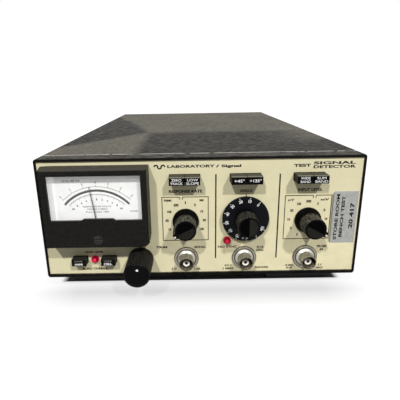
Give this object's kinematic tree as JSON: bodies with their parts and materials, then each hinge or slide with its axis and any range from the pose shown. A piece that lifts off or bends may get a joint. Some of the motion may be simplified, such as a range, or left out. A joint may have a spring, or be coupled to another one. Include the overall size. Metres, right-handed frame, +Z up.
{
  "type": "laboratory amplifier",
  "caption": "Bench laboratory amplifier in a half-rack case, with a moving-coil meter, push buttons, pointer knobs, a phase dial, coaxial sockets and a folding bail.",
  "frame": {"origin": "on the surface that the feet stand on, under the middle of the whole object", "axes": "+X to the right of the front panel, +Y from the front into the case, +Z up"},
  "size_m": [0.2184, 0.4122, 0.0969],
  "materials": {
    "panel_paint": "satin cream paint",
    "bezel_paint": "satin black over a casting",
    "cover_paint": "textured dark paint",
    "aluminium": "plain",
    "steel": "zinc plated",
    "nickel": "nickel plated",
    "brass": "gold flashed",
    "black_plastic": "satin black",
    "knob_plastic": "satin black",
    "button_plastic": "gloss black",
    "meter_plastic": "black moulding",
    "white_plastic": "white insulator",
    "window": "clear plastic",
    "scale_paint": "matt white",
    "lamp": "red lens",
    "rubber": "matt",
    "board": "green laminate",
    "iron": "varnished laminations"
  },
  "bodies": {
    "chassis": {"front_bezel": "bezel_paint", "front_panel": "panel_paint", "top_cover": "cover_paint", "bottom_cover": "cover_paint", "rear_panel": "aluminium", "side_rail_left": "aluminium", "side_rail_right": "aluminium", "main_board": "board", "board_components": "black_plastic", "control_board": "board", "meter_case": "meter_plastic", "meter_window": "window", "meter_scale": "scale_paint", "meter_movement": "iron", "power_transformer": "iron", "battery_pack": "black_plastic", "battery_tray": "aluminium", "time_constant_switch": "black_plastic", "sensitivity_switch": "black_plastic", "phase_potentiometer": "black_plastic", "offset_potentiometer": "black_plastic", "push_switches": "black_plastic", "power_led": "lamp", "reference_led": "lamp", "output_connector": "nickel", "reference_connector": "nickel", "input_connector": "nickel", "connector_insulators": "white_plastic", "connector_contacts": "brass", "connector_washers": "nickel", "foot_front_left": "rubber", "foot_front_right": "rubber", "foot_rear_left": "rubber", "foot_rear_right": "rubber", "case_screws": "steel", "mains_inlet": "black_plastic", "fuse_holder": "black_plastic", "control_nuts": "nickel"},
    "needle": {"needle": "aluminium"},
    "zero_adjuster": {"zero_adjust_screw": "black_plastic"},
    "time_constant_control": {"time_constant_knob": "knob_plastic", "time_constant_shaft": "brass"},
    "sensitivity_control": {"sensitivity_knob": "knob_plastic", "sensitivity_shaft": "brass"},
    "phase_control": {"phase_dial": "black_plastic", "phase_knob": "knob_plastic", "phase_shaft": "brass"},
    "offset_control": {"offset_knob": "knob_plastic", "offset_shaft": "brass"},
    "tilt_bail": {"tilt_bail": "steel"},
    "fuse_cap": {"fuse_cap": "black_plastic"},
    "line_button": {"line_button": "button_plastic"},
    "battery_button": {"battery_button": "button_plastic"},
    "button_1_1": {"button_1_1": "button_plastic"},
    "button_1_2": {"button_1_2": "button_plastic"},
    "button_2_1": {"button_2_1": "button_plastic"},
    "button_2_2": {"button_2_2": "button_plastic"},
    "button_3_1": {"button_3_1": "button_plastic"},
    "button_3_2": {"button_3_2": "button_plastic"}
  },
  "joints": [
    {"name": "needle_swing", "type": "hinge", "parent": "chassis", "child": "needle", "pos_m": [-0.0674, -0.18985, 0.0491], "axis": [0, 1, 0], "range_deg": [-37.7, 52.3], "stiffness_Nm_per_rad": 0.001},
    {"name": "zero_adjust_turn", "type": "hinge", "parent": "chassis", "child": "zero_adjuster", "pos_m": [-0.0674, -0.19285, 0.0454], "axis": [0, 1, 0], "range_deg": [-90, 90]},
    {"name": "time_constant_turn", "type": "hinge", "parent": "chassis", "child": "time_constant_control", "pos_m": [-0.01, -0.18085, 0.0525], "axis": [0, 1, 0], "range_deg": [-60, 240]},
    {"name": "sensitivity_turn", "type": "hinge", "parent": "chassis", "child": "sensitivity_control", "pos_m": [0.0732, -0.18085, 0.0521], "axis": [0, 1, 0], "range_deg": [-269, 31]},
    {"name": "phase_turn", "type": "hinge", "parent": "chassis", "child": "phase_control", "pos_m": [0.0305, -0.18085, 0.0544], "axis": [0, 1, 0], "range_deg": [-38.5, 238]},
    {"name": "offset_turn", "type": "hinge", "parent": "chassis", "child": "offset_control", "pos_m": [-0.042, -0.18085, 0.0247], "axis": [0, 1, 0], "range_deg": [-140, 140]},
    {"name": "bail_swing", "type": "hinge", "parent": "chassis", "child": "tilt_bail", "pos_m": [0, -0.15385, 0.0065], "axis": [-1, 0, 0], "range_deg": [0, 105]},
    {"name": "fuse_cap_turn", "type": "hinge", "parent": "chassis", "child": "fuse_cap", "pos_m": [-0.034, 0.18915, 0.0335], "axis": [0, 1, 0], "range_deg": [0, 90]},
    {"name": "button_1_1_press", "type": "slide", "parent": "chassis", "child": "button_1_1", "axis": [0, 1, 0], "range_m": [0, 0.0035], "stiffness_N_per_m": 400, "springref_m": -0.002},
    {"name": "button_1_2_press", "type": "slide", "parent": "chassis", "child": "button_1_2", "axis": [0, 1, 0], "range_m": [0, 0.0035], "stiffness_N_per_m": 400, "springref_m": -0.002},
    {"name": "button_2_1_press", "type": "slide", "parent": "chassis", "child": "button_2_1", "axis": [0, 1, 0], "range_m": [0, 0.0035], "stiffness_N_per_m": 400, "springref_m": -0.002},
    {"name": "button_2_2_press", "type": "slide", "parent": "chassis", "child": "button_2_2", "axis": [0, 1, 0], "range_m": [0, 0.0035], "stiffness_N_per_m": 400, "springref_m": -0.002},
    {"name": "button_3_1_press", "type": "slide", "parent": "chassis", "child": "button_3_1", "axis": [0, 1, 0], "range_m": [0, 0.0035], "stiffness_N_per_m": 400, "springref_m": -0.002},
    {"name": "button_3_2_press", "type": "slide", "parent": "chassis", "child": "button_3_2", "axis": [0, 1, 0], "range_m": [0, 0.0035], "stiffness_N_per_m": 400, "springref_m": -0.002},
    {"name": "line_button_press", "type": "slide", "parent": "chassis", "child": "line_button", "axis": [0, 1, 0], "range_m": [0, 0.0035], "stiffness_N_per_m": 400, "springref_m": -0.002},
    {"name": "battery_button_press", "type": "slide", "parent": "chassis", "child": "battery_button", "axis": [0, 1, 0], "range_m": [0, 0.0035], "stiffness_N_per_m": 400, "springref_m": -0.002}
  ]
}
